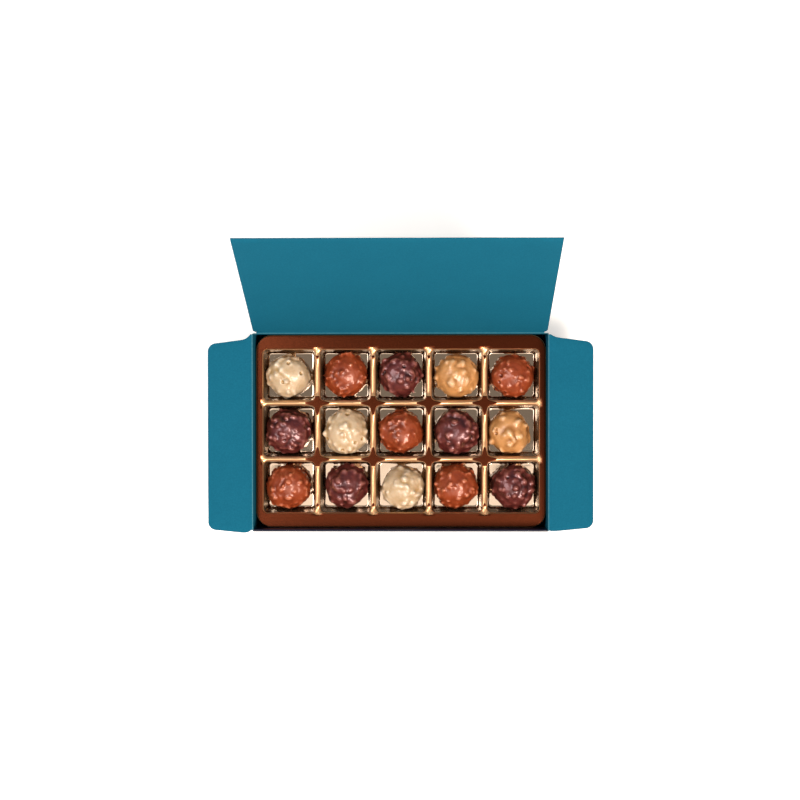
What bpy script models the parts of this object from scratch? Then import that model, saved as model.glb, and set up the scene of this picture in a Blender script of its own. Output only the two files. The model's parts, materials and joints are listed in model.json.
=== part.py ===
"""Folding carton of fifteen nut-studded pralines in a thermoformed tray, lid and side flaps open.

Units are metres. The origin is the centre of the carton's underside, +X runs along a row of five
pralines, +Y points to the lid's hinge and +Z is up.
"""

import math
import random

import bmesh
import bpy
from mathutils import Vector

MM = 0.001
GAP = 0.3 * MM  # left between neighbours that touch

# Carton of solid board, glued up from one blank
BOARD = 0.6 * MM
BODY_WIDTH = 184.0 * MM
BODY_DEPTH = 123.4 * MM
WALL_HEIGHT = 33.0 * MM
FRONT_WALL = 1.4 * MM  # folded over double, with a rolled top edge
BODY_CORNER = 0.5 * MM

LID_WIDTH = 182.0 * MM
LID_LENGTH = 123.0 * MM
LID_CORNER = 3.0 * MM  # only the two corners beside the hinge are rounded
LID_RISE = math.radians(67.1)  # slope of the open lid, up from level, behind the hinge

FLAP_LENGTH = 26.9 * MM
FLAP_CORNER = 4.5 * MM
FLAP_SHIFT = 0.6 * MM  # the two flaps sit this far forward and back of each other's place

# Hinge lines: a closed flap clears the walls, and the closed lid clears the flaps
HINGE_OUT = BOARD
HINGE_MARGIN = 0.5 * MM  # from a hinge's axis to the edge of its panel
FLAP_HINGE_Z = WALL_HEIGHT + GAP + BOARD / 2
LID_HINGE_Z = FLAP_HINGE_Z + BOARD + GAP

# Tray, one formed sheet
COLUMNS = 5
ROWS = 3
PITCH_X = 35.0 * MM
PITCH_Y = 35.3 * MM
DIVIDER_X = 3.4 * MM  # width of the walls between two columns
DIVIDER_Y = 3.2 * MM
OUTER_EXTRA = 0.9 * MM  # the first and last columns are wider on their outer side
TRAY_WIDTH = 181.8 * MM
TRAY_DEPTH = 120.8 * MM
TRAY_X = 0.2 * MM
TRAY_Y = 0.4 * MM
TRAY_CORNER = 10.0 * MM
SHEET = 0.45 * MM
FLOOR_Z = BOARD + GAP + SHEET
CELL_DEPTH = 20.5 * MM
RIM_Z = FLOOR_Z + CELL_DEPTH
DRAFT = 1.5 * MM  # each wall leans in by this much on its way down
CELL_CORNER = 3.0 * MM
FLOOR_CORNER = 2.2 * MM
SADDLE = 1.2 * MM  # the walls dip this far between two crossings
SADDLE_SHARES = (0.3, 0.7)  # along a side, the dip lies between these
CORNER_STEPS = 3
EDGE_ROLL = 1.0 * MM
SKIRT = 4.0 * MM

# Pralines: kind, offset from the cell's centre (x, y) and size (x, y), in millimetres, row by row
# from the hinge to the front
PRALINES = (
    (
        ("white", -1.7, -0.9, 28.8, 29.2),
        ("milk", -0.2, 0.3, 28.6, 29.6),
        ("dark", 0.1, 0.3, 28.6, 29.4),
        ("caramel", -0.1, -0.9, 29.0, 27.8),
        ("milk", 0.5, -0.7, 27.8, 27.4),
    ),
    (
        ("dark", -1.3, -0.6, 29.0, 29.4),
        ("white", -0.3, -0.4, 28.6, 29.6),
        ("milk", -0.1, -0.4, 28.8, 29.0),
        ("dark", -0.1, -0.6, 28.8, 28.6),
        ("caramel", -1.3, -1.0, 27.4, 28.4),
    ),
    (
        ("milk", -1.7, -0.8, 29.2, 28.6),
        ("dark", 0.9, 0.4, 28.4, 29.2),
        ("white", 0.8, -0.9, 28.8, 28.6),
        ("milk", -0.3, 0.2, 28.4, 29.4),
        ("dark", 0.6, -0.5, 28.5, 29.4),
    ),
)
PRALINE_HEIGHT = 25.0 * MM
PRALINE_BASE_Z = FLOOR_Z + GAP
FOOT_SHARE = 0.80  # the round form is cut level this far below its middle
NUTS = 30  # lumps of chopped nut under the chocolate
NUT_HEIGHT = {"white": 0.9 * MM, "milk": 1.4 * MM, "dark": 1.7 * MM, "caramel": 0.9 * MM}
NUT_SPREAD = 0.25  # radians
NUT_SEED = 1500

COLOURS = {
    "board_outside": (0.010, 0.012, 0.040, 1.0),
    "board_inside": (0.010, 0.155, 0.235, 1.0),
    "tray": (0.125, 0.030, 0.012, 1.0),
    "white": (0.80, 0.62, 0.36, 1.0),
    "milk": (0.22, 0.040, 0.015, 1.0),
    "dark": (0.060, 0.012, 0.012, 1.0),
    "caramel": (0.66, 0.32, 0.11, 1.0),
}
ROUGHNESS = {"board_outside": 0.35, "board_inside": 0.60, "tray": 0.22}
CHOCOLATE_ROUGHNESS = 0.35


def clear_scene():
    for item in list(bpy.data.objects):
        bpy.data.objects.remove(item, do_unlink=True)


def new_collection(name):
    collection = bpy.data.collections.new(name)
    bpy.context.scene.collection.children.link(collection)
    return collection


def material(name):
    """The material of that name, made the first time it is asked for."""
    if name in bpy.data.materials:
        return bpy.data.materials[name]
    made = bpy.data.materials.new(name)
    made.use_nodes = True
    shader = made.node_tree.nodes["Principled BSDF"]
    shader.inputs["Base Color"].default_value = COLOURS[name]
    shader.inputs["Roughness"].default_value = ROUGHNESS.get(name, CHOCOLATE_ROUGHNESS)
    shader.inputs["Metallic"].default_value = 0.0
    return made


def mesh_object(bm, name, collection, surface=None):
    """Turns a bmesh into a mesh object in the collection."""
    mesh = bpy.data.meshes.new(name)
    bm.to_mesh(mesh)
    bm.free()
    made = bpy.data.objects.new(name, mesh)
    if surface:
        mesh.materials.append(material(surface))
    collection.objects.link(made)
    return made


def block(low, high):
    """A bmesh box between two corners."""
    bm = bmesh.new()
    bmesh.ops.create_cube(bm, size=1.0)
    low = Vector(low)
    size = Vector(high) - low
    for vertex in bm.verts:
        vertex.co = Vector((low[i] + (vertex.co[i] + 0.5) * size[i] for i in range(3)))
    return bm


def is_upright(edge):
    return abs(edge.verts[0].co.z - edge.verts[1].co.z) > MM


# ---- carton ---------------------------------------------------------------------------------


def make_body(parts, cutters):
    """Open box: an outer block with eased corners, less the space inside its walls."""
    half_x = BODY_WIDTH / 2
    half_y = BODY_DEPTH / 2
    bm = block((-half_x, -half_y, 0.0), (half_x, half_y, WALL_HEIGHT))
    upright = [e for e in bm.edges if is_upright(e)]
    bmesh.ops.bevel(
        bm, geom=upright, offset=BODY_CORNER, segments=2, profile=0.5, affect="EDGES"
    )
    rolled = [
        e
        for e in bm.edges
        if all(v.co.z > WALL_HEIGHT - GAP and v.co.y < -half_y + BOARD for v in e.verts)
        and e.calc_length() > BODY_WIDTH / 2
    ]
    bmesh.ops.bevel(
        bm, geom=rolled, offset=FRONT_WALL / 2, segments=3, profile=0.5, affect="EDGES"
    )
    body = mesh_object(bm, "carton_body", parts, "board_outside")

    inside = block(
        (-half_x + BOARD, -half_y + FRONT_WALL, BOARD),
        (half_x - BOARD, half_y - BOARD, WALL_HEIGHT * 2),
    )
    upright = [e for e in inside.edges if is_upright(e)]
    bmesh.ops.bevel(
        inside, geom=upright, offset=BODY_CORNER, segments=2, profile=0.5, affect="EDGES"
    )
    cutter = mesh_object(inside, "body_space", cutters)
    cutter.hide_render = True
    cutter.display_type = "WIRE"
    cut = body.modifiers.new("space", "BOOLEAN")
    cut.operation = "DIFFERENCE"
    cut.solver = "EXACT"
    cut.object = cutter
    return body


def rounded_corner(before, corner, after, radius, steps=6):
    """Points of an arc that rounds the corner of a flat outline."""
    before, corner, after = Vector(before), Vector(corner), Vector(after)
    arrive = (before - corner).normalized()
    leave = (after - corner).normalized()
    half_angle = arrive.angle(leave) / 2
    reach = radius / math.tan(half_angle)
    centre = corner + (arrive + leave).normalized() * radius / math.sin(half_angle)
    start = corner + arrive * reach - centre
    end = corner + leave * reach - centre
    sweep = start.angle(end)
    points = []
    for step in range(steps + 1):
        t = step / steps
        share_start = math.sin((1 - t) * sweep) / math.sin(sweep)
        share_end = math.sin(t * sweep) / math.sin(sweep)
        points.append(centre + start * share_start + end * share_end)
    return points


def outline(corners):
    """Flat outline from (x, y, radius) corners, in order."""
    points = []
    for index, (x, y, radius) in enumerate(corners):
        before = corners[index - 1][:2]
        after = corners[(index + 1) % len(corners)][:2]
        if radius > 0:
            points += rounded_corner(before, (x, y), after, radius)
        else:
            points.append(Vector((x, y)))
    return points


def make_panel(name, corners, collection):
    """A flat piece of board with its mid-plane at local z = 0."""
    curve = bpy.data.curves.new(name, "CURVE")
    curve.dimensions = "2D"
    curve.fill_mode = "BOTH"
    curve.extrude = BOARD / 2
    points = outline(corners)
    spline = curve.splines.new("POLY")
    spline.points.add(len(points) - 1)
    for point, place in zip(spline.points, points):
        point.co = (place.x, place.y, 0.0, 1.0)
    spline.use_cyclic_u = True
    curve.materials.append(material("board_inside"))
    panel = bpy.data.objects.new(name, curve)
    collection.objects.link(panel)
    return panel


def make_lid(parts):
    """Lid panel, its origin on the hinge line, tilted back as it stands open."""
    half = LID_WIDTH / 2
    corners = (
        (-half, HINGE_MARGIN, LID_CORNER),
        (half, HINGE_MARGIN, LID_CORNER),
        (half, LID_LENGTH, 0.0),
        (-half, LID_LENGTH, 0.0),
    )
    lid = make_panel("lid", corners, parts)
    lid.location = (0.0, BODY_DEPTH / 2 + HINGE_OUT, LID_HINGE_Z)
    lid.rotation_euler = (LID_RISE, 0.0, 0.0)
    return lid


def make_flap(name, side, parts):
    """Side flap, its origin on the hinge line. It tapers outwards, more at the back."""
    root = HINGE_MARGIN
    neck = 3.5 * MM  # where the relief beside the hinge ends
    tip = FLAP_LENGTH
    shift = side * FLAP_SHIFT
    corners = (
        (side * root, -61.2 * MM, 0.0),
        (side * neck, -61.9 * MM + shift, FLAP_CORNER),
        (side * tip, -59.6 * MM + shift, FLAP_CORNER),
        (side * tip, 55.4 * MM + shift, FLAP_CORNER),
        (side * neck, 58.4 * MM + shift, 2.0 * MM),
        (side * root, 60.9 * MM, 0.0),
    )
    if side < 0:
        corners = tuple(reversed(corners))
    flap = make_panel(name, corners, parts)
    flap.location = (side * (BODY_WIDTH / 2 + HINGE_OUT), 0.0, FLAP_HINGE_Z)
    return flap


# ---- tray -----------------------------------------------------------------------------------


def column_sides(column):
    """Lowest and highest x of a column's openings."""
    centre = TRAY_X + (column - (COLUMNS - 1) / 2) * PITCH_X
    low = centre - (PITCH_X - DIVIDER_X) / 2
    high = centre + (PITCH_X - DIVIDER_X) / 2
    if column == 0:
        low -= OUTER_EXTRA
    if column == COLUMNS - 1:
        high += OUTER_EXTRA
    return low, high


def row_sides(row):
    """Lowest and highest y of a row's openings; row 0 is beside the hinge."""
    centre = TRAY_Y + ((ROWS - 1) / 2 - row) * PITCH_Y
    half = (PITCH_Y - DIVIDER_Y) / 2
    return centre - half, centre + half


def rounded_loop(low, high, radius):
    """Loop of points round a rectangle with rounded corners, with two points along each side."""
    arcs = []
    centres = (
        (high.x - radius, high.y - radius),
        (low.x + radius, high.y - radius),
        (low.x + radius, low.y + radius),
        (high.x - radius, low.y + radius),
    )
    for quarter, (x, y) in enumerate(centres):
        arc = []
        for step in range(CORNER_STEPS + 1):
            angle = (quarter + step / CORNER_STEPS) * math.pi / 2
            arc.append(Vector((x + radius * math.cos(angle), y + radius * math.sin(angle))))
        arcs.append(arc)
    loop = []
    for quarter, arc in enumerate(arcs):
        start = arc[-1]
        end = arcs[(quarter + 1) % 4][0]
        loop += arc
        loop += [start.lerp(end, share) for share in SADDLE_SHARES]
    return loop


def moved_out(value, low, high, low_edge, high_edge):
    """A coordinate close to a side of the opening moves out to the middle of the wall there."""
    near = 0.6 * CELL_CORNER
    if value - low < near:
        return low_edge
    if high - value < near:
        return high_edge
    return value


def add_band(bm, outer, inner):
    """Faces between two loops that have the same number of points and run anticlockwise."""
    count = len(outer)
    for i in range(count):
        j = (i + 1) % count
        bm.faces.new((outer[i], outer[j], inner[j], inner[i]))


def add_cell(bm, row, column):
    """One cell: the top of the walls round it, its four sides and its floor."""
    low = Vector((column_sides(column)[0], row_sides(row)[0]))
    high = Vector((column_sides(column)[1], row_sides(row)[1]))
    middle = Vector((DIVIDER_X / 2, DIVIDER_Y / 2))
    low_edge = low - middle
    high_edge = high + middle
    inset = Vector((DRAFT, DRAFT))
    lip = rounded_loop(low, high, CELL_CORNER)
    floor = rounded_loop(low + inset, high - inset, FLOOR_CORNER)
    wall_middle = []
    heights = []
    for index, point in enumerate(lip):
        x = moved_out(point.x, low.x, high.x, low_edge.x, high_edge.x)
        y = moved_out(point.y, low.y, high.y, low_edge.y, high_edge.y)
        wall_middle.append((x, y))
        on_side = index % (CORNER_STEPS + 1 + len(SADDLE_SHARES)) > CORNER_STEPS
        shared = (
            (x == low_edge.x and column > 0)
            or (x == high_edge.x and column < COLUMNS - 1)
            or (y == low_edge.y and row < ROWS - 1)
            or (y == high_edge.y and row > 0)
        )
        heights.append(RIM_Z - SADDLE if on_side and shared else RIM_Z)
    outer = [bm.verts.new((x, y, z)) for (x, y), z in zip(wall_middle, heights)]
    edge = [bm.verts.new((p.x, p.y, z)) for p, z in zip(lip, heights)]
    bottom = [bm.verts.new((p.x, p.y, FLOOR_Z)) for p in floor]
    add_band(bm, outer, edge)
    add_band(bm, edge, bottom)
    bm.faces.new(bottom)


def add_flange(bm):
    """The rim round the cells, rolled over at its edge into a short skirt."""
    inner = [e for e in bm.edges if e.is_boundary]
    half = Vector((TRAY_WIDTH / 2, TRAY_DEPTH / 2))
    centre = Vector((TRAY_X, TRAY_Y))
    lean = EDGE_ROLL * math.sin(math.pi / 4)
    levels = (
        (EDGE_ROLL, 0.0),
        (EDGE_ROLL - lean, EDGE_ROLL - lean),
        (0.0, EDGE_ROLL),
        (0.0, SKIRT),
    )
    rings = []
    for pull, drop in levels:
        reach = half - Vector((pull, pull))
        loop = rounded_loop(centre - reach, centre + reach, TRAY_CORNER - pull)
        rings.append([bm.verts.new((p.x, p.y, RIM_Z - drop)) for p in loop])
    for upper, lower in zip(rings, rings[1:]):
        add_band(bm, lower, upper)
    top = rings[0]
    edges = [bm.edges.get((top[i - 1], top[i])) for i in range(len(top))]
    bmesh.ops.triangle_fill(bm, use_beauty=True, edges=inner + edges)


def make_tray(parts):
    """One sheet formed over fifteen cells, given its thickness below."""
    bm = bmesh.new()
    for row in range(ROWS):
        for column in range(COLUMNS):
            add_cell(bm, row, column)
    bmesh.ops.remove_doubles(bm, verts=bm.verts, dist=0.01 * MM)
    add_flange(bm)
    bmesh.ops.recalc_face_normals(bm, faces=bm.faces)
    if sum(face.normal.z * face.calc_area() for face in bm.faces) < 0:
        bmesh.ops.reverse_faces(bm, faces=bm.faces)
    tray = mesh_object(bm, "tray", parts, "tray")
    thick = tray.modifiers.new("sheet", "SOLIDIFY")
    thick.thickness = SHEET
    thick.offset = -1.0
    thick.use_even_offset = True
    return tray


# ---- pralines -------------------------------------------------------------------------------


def random_direction(rng):
    """A direction, every one equally likely."""
    z = rng.uniform(-1.0, 1.0)
    turn = rng.uniform(0.0, 2 * math.pi)
    level = math.sqrt(1 - z * z)
    return Vector((level * math.cos(turn), level * math.sin(turn), z))


def fit_axis(bm, axis, low, high):
    """Stretches the shape along one axis so that it runs from low to high."""
    values = [v.co[axis] for v in bm.verts]
    least = min(values)
    scale = (high - low) / (max(values) - least)
    for vertex in bm.verts:
        vertex.co[axis] = low + (vertex.co[axis] - least) * scale


def keep_in_cell(bm, row, column):
    """Presses what would touch the tray's wall back to a gap's width from it."""
    limits = (column_sides(column), row_sides(row))
    for vertex in bm.verts:
        depth = max(0.0, RIM_Z - vertex.co.z)
        inset = DRAFT * depth / CELL_DEPTH + GAP
        for axis, (low, high) in enumerate(limits):
            vertex.co[axis] = min(max(vertex.co[axis], low + inset), high - inset)


def make_praline(row, column, parts):
    """A round centre rolled in chopped nuts and dipped, with a flat foot."""
    kind, offset_x, offset_y, size_x, size_y = PRALINES[row][column]
    rng = random.Random(NUT_SEED + row * COLUMNS + column)
    nuts = [(random_direction(rng), rng.uniform(0.4, 1.0)) for _ in range(NUTS)]
    radius = PRALINE_HEIGHT / 2
    bm = bmesh.new()
    bmesh.ops.create_icosphere(bm, subdivisions=3, radius=radius)
    for vertex in bm.verts:
        direction = vertex.co.normalized()
        lump = 0.0
        for nut, share in nuts:
            away = direction.angle(nut) / NUT_SPREAD
            lump = max(lump, share * math.exp(-away * away))
        vertex.co += direction * lump * NUT_HEIGHT[kind]
        vertex.co.z = max(vertex.co.z, -radius * FOOT_SHARE)
    x = TRAY_X + (column - (COLUMNS - 1) / 2) * PITCH_X + offset_x * MM
    y = TRAY_Y + ((ROWS - 1) / 2 - row) * PITCH_Y + offset_y * MM
    fit_axis(bm, 0, x - size_x * MM / 2, x + size_x * MM / 2)
    fit_axis(bm, 1, y - size_y * MM / 2, y + size_y * MM / 2)
    fit_axis(bm, 2, PRALINE_BASE_Z, PRALINE_BASE_Z + PRALINE_HEIGHT)
    keep_in_cell(bm, row, column)
    return mesh_object(bm, f"praline_{row + 1}_{column + 1}", parts, kind)


def main():
    clear_scene()
    parts = new_collection("praline_box")
    cutters = new_collection("cutters")
    make_body(parts, cutters)
    make_lid(parts)
    make_flap("flap_left", -1, parts)
    make_flap("flap_right", 1, parts)
    make_tray(parts)
    for row in range(ROWS):
        for column in range(COLUMNS):
            make_praline(row, column, parts)


main()
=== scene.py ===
# %% [markdown]
# # A box of nut-coated pralines, opened
# This lesson dresses a imported model of a folding carton that holds a formed tray and fifteen
# chocolate-coated pralines. The imported model fixes every size and hinge; here each piece gets its
# real surface. We start by loading that model.

# %% Load the imported model
import json
import math

import bmesh
import bpy
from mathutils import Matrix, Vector


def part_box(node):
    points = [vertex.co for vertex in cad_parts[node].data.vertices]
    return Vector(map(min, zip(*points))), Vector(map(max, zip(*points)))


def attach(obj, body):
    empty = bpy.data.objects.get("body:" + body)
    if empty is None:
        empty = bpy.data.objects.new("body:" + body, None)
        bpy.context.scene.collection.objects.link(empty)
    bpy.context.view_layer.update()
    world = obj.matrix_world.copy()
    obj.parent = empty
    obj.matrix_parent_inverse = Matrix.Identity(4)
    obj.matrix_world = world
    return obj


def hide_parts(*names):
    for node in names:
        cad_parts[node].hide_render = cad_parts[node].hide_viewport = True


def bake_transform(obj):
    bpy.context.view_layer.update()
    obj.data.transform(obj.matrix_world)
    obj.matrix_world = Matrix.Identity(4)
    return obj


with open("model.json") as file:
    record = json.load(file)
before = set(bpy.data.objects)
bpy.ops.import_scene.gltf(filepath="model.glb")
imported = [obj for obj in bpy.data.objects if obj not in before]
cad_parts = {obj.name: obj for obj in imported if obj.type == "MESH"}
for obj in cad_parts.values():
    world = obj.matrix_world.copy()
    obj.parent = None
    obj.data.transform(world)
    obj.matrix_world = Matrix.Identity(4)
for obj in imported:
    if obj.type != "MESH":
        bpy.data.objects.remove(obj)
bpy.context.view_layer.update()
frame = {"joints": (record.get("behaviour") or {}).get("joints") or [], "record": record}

# %% [markdown]
# Lengths in this lesson are metres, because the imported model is. Cartons and sweets are measured
# in millimetres, so `MM` keeps the numbers readable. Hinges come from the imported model's joints
# and the places of the pieces from its boxes.

# %% Sizes read from the model
MM = 0.001
JOINTS = {joint["name"]: joint for joint in frame["joints"]}
LID_AXIS = Vector(JOINTS["lid_hinge"]["pos_m"])
FLAP_AXIS = Vector(JOINTS["flap_right_hinge"]["pos_m"])
LID_RISE = math.pi - math.radians(JOINTS["lid_hinge"]["range_deg"][1])
BODY_LOW, BODY_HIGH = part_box("carton_body")
TRAY_LOW, TRAY_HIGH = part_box("tray")
BOARD = 0.6 * MM
print("lid stands", round(math.degrees(LID_RISE), 1), "degrees up from level, behind its hinge")

# %% [markdown]
# Four helpers carry the whole lesson. `linear` turns a printed sRGB colour into the linear values
# that a renderer works with. `node` adds one node to any tree, with its settings and its inputs,
# each of which is a number, another node or one of its outputs. `finish_piece` turns a bmesh into
# an object with its materials, and `new_surface` starts a material.

# %% Helpers
def linear(colour):
    """An sRGB hex colour as linear red, green, blue and alpha."""
    def channel(value):
        return value / 12.92 if value <= 0.04045 else ((value + 0.055) / 1.055) ** 2.4
    parts = [int(colour[i:i + 2], 16) / 255 for i in (1, 3, 5)]
    return (*map(channel, parts), 1.0)


def node(tree, kind, settings=None, inputs=None):
    """Adds a node. Inputs are named or numbered, and hold a value, a node or a node's output."""
    made = tree.nodes.new(kind)
    for name, value in (settings or {}).items():
        setattr(made, name, value)
    for name, value in (inputs or {}).items():
        if isinstance(value, bpy.types.Node):
            value = value.outputs[0]
        if isinstance(value, bpy.types.NodeSocket):
            tree.links.new(value, made.inputs[name])
        else:
            made.inputs[name].default_value = value
    return made


def finish_piece(bm, name, materials, smooth=True):
    """A mesh object with its materials, in the scene."""
    mesh = bpy.data.meshes.new(name)
    bm.to_mesh(mesh)
    bm.free()
    for surface in materials:
        mesh.materials.append(surface)
    if smooth:
        mesh.shade_smooth()
    piece = bpy.data.objects.new(name, mesh)
    bpy.context.scene.collection.objects.link(piece)
    print(name, "has", len(mesh.polygons), "faces")
    return piece


def new_surface(name):
    """An empty material: its tree, and the Principled shader that the rest is wired to."""
    surface = bpy.data.materials.new(name)
    surface.use_nodes = True
    tree = surface.node_tree
    return surface, tree, tree.nodes["Principled BSDF"]


# %% [markdown]
# ## Camera
# The box is looked at from almost straight above, from about a metre away, a little behind and to
# the right of its middle. A long lens keeps the walls nearly upright in the picture; what
# perspective remains spreads the leaning lid's far edge wider than its hinge.

# %% Camera
CAMERA_PLACE = Vector((0.0150, 0.0351, 0.9769))
CAMERA_TURN = (math.radians(-0.91), math.radians(0.92), math.radians(-0.06))
CAMERA_LENS = 68.5  # mm, on a sensor 36 mm wide

camera_data = bpy.data.cameras.new("camera")
camera_data.lens = CAMERA_LENS
camera_data.sensor_width = 36.0
camera_data.clip_start = 0.05
camera_data.clip_end = 20.0
camera = bpy.data.objects.new("camera", camera_data)
camera.location = CAMERA_PLACE
camera.rotation_euler = CAMERA_TURN
bpy.context.scene.collection.objects.link(camera)
bpy.context.scene.camera = camera

# %% [markdown]
# ## Board
# The carton is folding boxboard, 0.6 mm thick. Its inside is printed teal and sealed with a matt
# varnish; under light it shows the fibres of the board as a soft mottle, about a millimetre
# across. The outside is printed a very dark navy and film-laminated, so it has a satin gloss.
# The cut edge shows the board's pale core. A noise texture at the fibre's scale shifts the
# colour and drives a faint bump.

# %% Board surfaces
FIBRE = 0.9 * MM
FIBRE_SHARE = 0.65
CLOUD = 22.0 * MM
CLOUD_SHARE = 0.35


def printed_board(name, ink, ink_dark, roughness, gloss, grain_depth):
    """Ink on boxboard: cloudy over centimetres and mottled at the scale of the fibres."""
    surface, tree, shader = new_surface(name)
    place = node(tree, "ShaderNodeTexCoord").outputs["Object"]
    cloud = node(tree, "ShaderNodeTexNoise", None,
                 {"Vector": place, "Scale": 1 / CLOUD, "Detail": 3.0})
    fibre = node(tree, "ShaderNodeTexNoise", None,
                 {"Vector": place, "Scale": 1 / FIBRE, "Detail": 4.0, "Roughness": 0.62})
    spread = node(tree, "ShaderNodeMapRange", None,
                  {0: fibre.outputs["Fac"], 1: 0.30, 2: 0.70, 3: 0.0, 4: 1.0})
    clouded = node(tree, "ShaderNodeMath", {"operation": "MULTIPLY"},
                   {0: cloud.outputs["Fac"], 1: CLOUD_SHARE})
    mottle = node(tree, "ShaderNodeMath", {"operation": "MULTIPLY_ADD", "use_clamp": True},
                  {0: spread.outputs[0], 1: FIBRE_SHARE, 2: clouded.outputs[0]})
    colour = node(tree, "ShaderNodeMix", {"data_type": "RGBA"},
                  {0: mottle.outputs[0], 6: linear(ink_dark), 7: linear(ink)})
    bump = node(tree, "ShaderNodeBump", None,
                {"Height": fibre.outputs["Fac"], "Strength": 0.35, "Distance": grain_depth})
    tree.links.new(colour.outputs[2], shader.inputs["Base Color"])
    tree.links.new(bump.outputs[0], shader.inputs["Normal"])
    shader.inputs["Roughness"].default_value = roughness
    shader.inputs["Specular IOR Level"].default_value = gloss
    return surface


teal_board = printed_board("teal_varnished_board", "#166078", "#0f5269", 0.80, 0.03, 0.05 * MM)
navy_board = printed_board("navy_laminated_board", "#14182f", "#0d1026", 0.32, 0.45, 0.02 * MM)
core_board = printed_board("board_core", "#4f7077", "#2f5a64", 0.85, 0.05, 0.05 * MM)
# The pale crease colour is partly varnish cracking on the fold and partly a painted highlight along
# the bend.
crease_crack_and_highlight_board = printed_board("crease_crack_and_highlight_board", "#5a858e", "#1f6375", 0.80, 0.05, 0.08 * MM)
BOARD_SURFACES = [teal_board, navy_board, core_board]

# %% [markdown]
# A panel of board is drawn as its middle surface, a grid of stations that run outwards from the
# hinge, and a Solidify modifier gives it thickness. The modifier can put one material on the
# face, the next on the back and a third on the cut edge, which is how a real sheet is printed. A
# panel is cut flat but never stays quite flat, so each is bowed by a fraction of a millimetre.

# %% Panels of board
def add_thickness(piece, thickness, offset):
    """Solidify, with the next materials in the list on the back and on the cut edge."""
    thick = piece.modifiers.new("board", "SOLIDIFY")
    thick.thickness = thickness
    thick.offset = offset
    thick.material_offset = 1
    thick.material_offset_rim = 2
    edge = piece.modifiers.new("cut_edge", "BEVEL")
    edge.width = 0.08 * MM
    edge.segments = 2
    edge.limit_method = "ANGLE"
    edge.angle_limit = math.radians(50)


def panel(name, marks, sides, place, across=24):
    """A sheet whose low and high side are a function of the distance from the hinge."""
    bm = bmesh.new()
    rows = []
    for distance in marks:
        low, high = sides(distance)
        rows.append([
            bm.verts.new(place(distance, low + (high - low) * i / across))
            for i in range(across + 1)
        ])
    for near, far in zip(rows, rows[1:]):
        for i in range(across):
            bm.faces.new((near[i], near[i + 1], far[i + 1], far[i]))
    piece = finish_piece(bm, name, BOARD_SURFACES)
    add_thickness(piece, BOARD, 0.0)
    return piece


def corner_inset(distance, radius):
    """How far an edge stands back at this distance before the end of a rounded corner."""
    if distance >= radius:
        return 0.0
    return radius - math.sqrt(max(0.0, radius ** 2 - (radius - distance) ** 2))


def stations(start, end, radius, steps=8, spacing=6 * MM, round_start=False, round_end=False):
    """Distances from start to end, closer together where the corners are rounded."""
    marks = {start, end}
    count = max(2, round((end - start) / spacing))
    marks.update(start + (end - start) * i / count for i in range(count + 1))
    for i in range(steps + 1):
        reach = radius * (1 - math.cos(i / steps * math.pi / 2))
        if round_start:
            marks.add(start + reach)
        if round_end:
            marks.add(end - reach)
    return sorted(marks)


# %% [markdown]
# The lid is a plain panel. Only the two corners beside its hinge are rounded, to let it fold
# without catching. Its slight bow is what gives a large flat sheet its slow change of shade.

# %% Lid
HINGE_MARGIN = 0.5 * MM  # from a hinge's axis to the start of its panel
LID_WIDTH = 182.0 * MM
LID_LENGTH = 123.0 * MM
LID_CORNER = 3.0 * MM
LID_BOW = 0.5 * MM


def lid_sides(distance):
    half = LID_WIDTH / 2 - corner_inset(distance - HINGE_MARGIN, LID_CORNER)
    return -half, half


def lid_place(distance, across):
    share = (distance - HINGE_MARGIN) / (LID_LENGTH - HINGE_MARGIN)
    bow = LID_BOW * math.sin(math.pi * share) * (1 - (2 * across / LID_WIDTH) ** 2)
    rise = distance * math.sin(LID_RISE) - bow * math.cos(LID_RISE)
    back = distance * math.cos(LID_RISE) + bow * math.sin(LID_RISE)
    return across, LID_AXIS.y + back, LID_AXIS.z + rise


lid = panel(
    "lid_panel",
    stations(HINGE_MARGIN, LID_LENGTH, LID_CORNER, round_start=True),
    lid_sides,
    lid_place,
)
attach(lid, "lid")
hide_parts("lid")

# %% [markdown]
# The flaps taper outwards, more on the side of the lid, and have a hollow relief cut where they
# meet the lid's crease. They are mirror images but for a shift along the hinge, so one function
# makes both. The corners of the free edge sag a little.

# %% Side flaps
FLAP_LENGTH = 26.9 * MM
FLAP_CORNER = 4.5 * MM
FLAP_SHIFT = 0.6 * MM
FLAP_NECK = 3.5 * MM
FLAP_SAG = 0.15 * MM
FLAP_BACK = (60.9 * MM, 58.4 * MM, 55.4 * MM)  # y at the hinge, at the neck and at the tip
FLAP_FRONT = (-61.2 * MM, -61.9 * MM, -59.6 * MM)


def flap_edge(distance, heights, shift):
    """A straight taper from neck to tip, eased into the relief beside the hinge."""
    root, neck, tip = heights
    slope = (tip - neck) / (FLAP_LENGTH - FLAP_NECK)
    straight = neck + shift + slope * (distance - FLAP_NECK)
    if distance >= 2 * FLAP_NECK:
        return straight
    share = (distance - HINGE_MARGIN) / (2 * FLAP_NECK - HINGE_MARGIN)
    return straight + (root - (neck + shift - slope * FLAP_NECK)) * (1 - share) ** 3


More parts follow.
